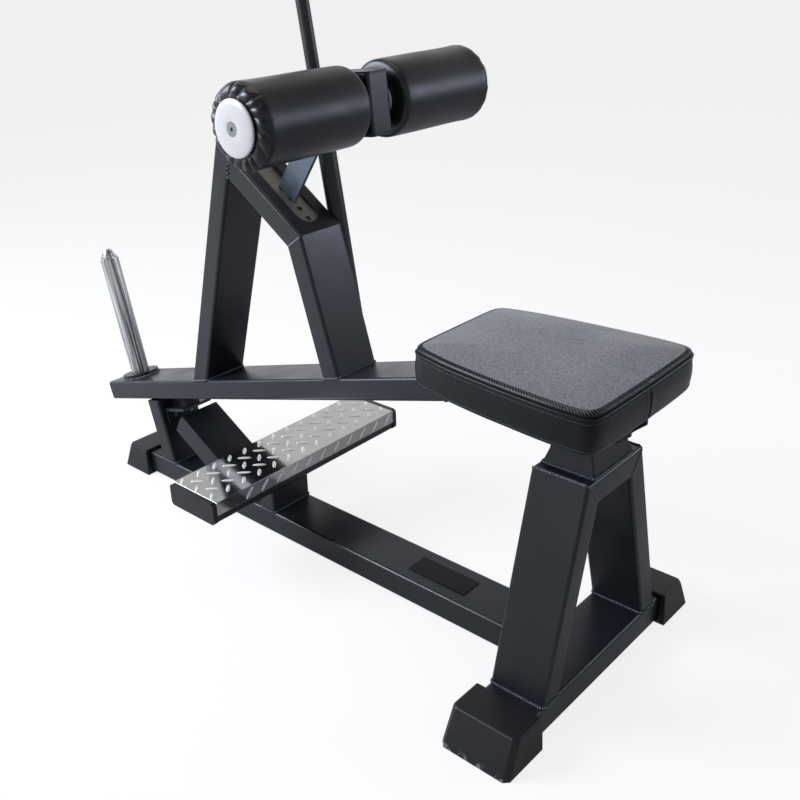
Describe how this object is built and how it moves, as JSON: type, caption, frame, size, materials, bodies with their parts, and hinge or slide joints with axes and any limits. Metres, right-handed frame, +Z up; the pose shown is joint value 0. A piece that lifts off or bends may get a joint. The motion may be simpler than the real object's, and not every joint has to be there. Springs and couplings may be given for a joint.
{
  "type": "seated calf raise machine",
  "caption": "Low steel frame with a padded seat, a ribbed foot rest and a plate loaded lever carrying a tower with padded knee rollers, a carriage that slides to set height and a handle.",
  "frame": {"origin": "on the floor, under the middle of the machine's box", "axes": "+Z up, +Y from the seat to the loaded end of the lever, +X the sitter's right"},
  "size_m": [0.68, 1.6132, 1.3799],
  "materials": {
    "powder_coat": "fine satin powder coat",
    "moulded_plastic": "satin moulded plastic",
    "seat_vinyl": "grained charcoal vinyl, smooth near black sides",
    "roller_vinyl": "satin black vinyl",
    "plywood": "bare plywood",
    "white_plastic": "glossy white plastic",
    "brushed_steel": "brushed along its length",
    "polished_steel": "polished stainless steel",
    "zinc_steel": "bright zinc plate",
    "rubber": "matt black rubber"
  },
  "bodies": {
    "base": {"crossbar": "powder_coat", "spine": "powder_coat", "foot_right": "moulded_plastic", "foot_left": "moulded_plastic", "foot_far": "moulded_plastic", "name_plate": "moulded_plastic", "seat_leg_right": "powder_coat", "seat_leg_left": "powder_coat", "seat_top_bar": "powder_coat", "seat_neck": "powder_coat", "seat_beam": "powder_coat", "pivot_ear_right": "powder_coat", "pivot_ear_left": "powder_coat", "pivot_pin": "zinc_steel", "pivot_nut": "zinc_steel", "seat_board": "plywood", "seat_cushion": "seat_vinyl", "foot_rest_post": "powder_coat", "foot_rest_tube": "powder_coat", "tread_plate": "polished_steel", "foot_rest_cap_right": "moulded_plastic", "foot_rest_cap_left": "moulded_plastic", "rest_post": "powder_coat", "stop_tube": "powder_coat", "buffer_bracket": "powder_coat", "rubber_buffer": "rubber", "bracket_bolt_right": "zinc_steel", "bracket_bolt_left": "zinc_steel"},
    "lever": {"lever_tube": "powder_coat", "lever_end_cap": "moulded_plastic", "lever_neck": "powder_coat", "weight_horn": "brushed_steel", "horn_flange": "powder_coat", "tower_leg_far": "powder_coat", "tower_leg_near": "powder_coat", "tower_head": "powder_coat", "guide_plate": "zinc_steel", "pin_housing": "zinc_steel", "handle_tube": "powder_coat", "handle_collar": "powder_coat", "handle_rod": "powder_coat", "handle_grip": "rubber"},
    "pull_pin": {"pull_pin": "zinc_steel"},
    "carriage": {"slide_strip": "polished_steel", "carriage_arm": "polished_steel", "roller_bracket": "powder_coat", "bracket_cap_top": "moulded_plastic", "bracket_cap_bottom": "moulded_plastic", "roller_shaft": "zinc_steel", "roller_collar_right": "white_plastic", "roller_collar_left": "white_plastic", "roller_disc_right": "white_plastic", "roller_disc_left": "white_plastic", "disc_screw_right": "zinc_steel", "disc_screw_left": "zinc_steel"},
    "roller_right": {"roller_pad_right": "roller_vinyl", "roller_core_right": "zinc_steel"},
    "roller_left": {"roller_pad_left": "roller_vinyl", "roller_core_left": "zinc_steel"}
  },
  "joints": [
    {"name": "lever_pivot", "type": "hinge", "parent": "base", "child": "lever", "pos_m": [0, -0.43263, 0.563], "axis": [1, 0, 0], "range_deg": [0, 17]},
    {"name": "carriage_slide", "type": "slide", "parent": "lever", "child": "carriage", "axis": [0, 0.8213, 0.5704], "range_m": [0, 0.09]},
    {"name": "pin_pull", "type": "slide", "parent": "lever", "child": "pull_pin", "axis": [0, -0.5704, 0.8213], "range_m": [0, 0.0055]},
    {"name": "roller_right_spin", "type": "hinge", "parent": "carriage", "child": "roller_right", "pos_m": [0, -0.16517, 1.05941], "axis": [1, 0, 0], "continuous": true},
    {"name": "roller_left_spin", "type": "hinge", "parent": "carriage", "child": "roller_left", "pos_m": [0, -0.16517, 1.05941], "axis": [1, 0, 0], "continuous": true}
  ]
}
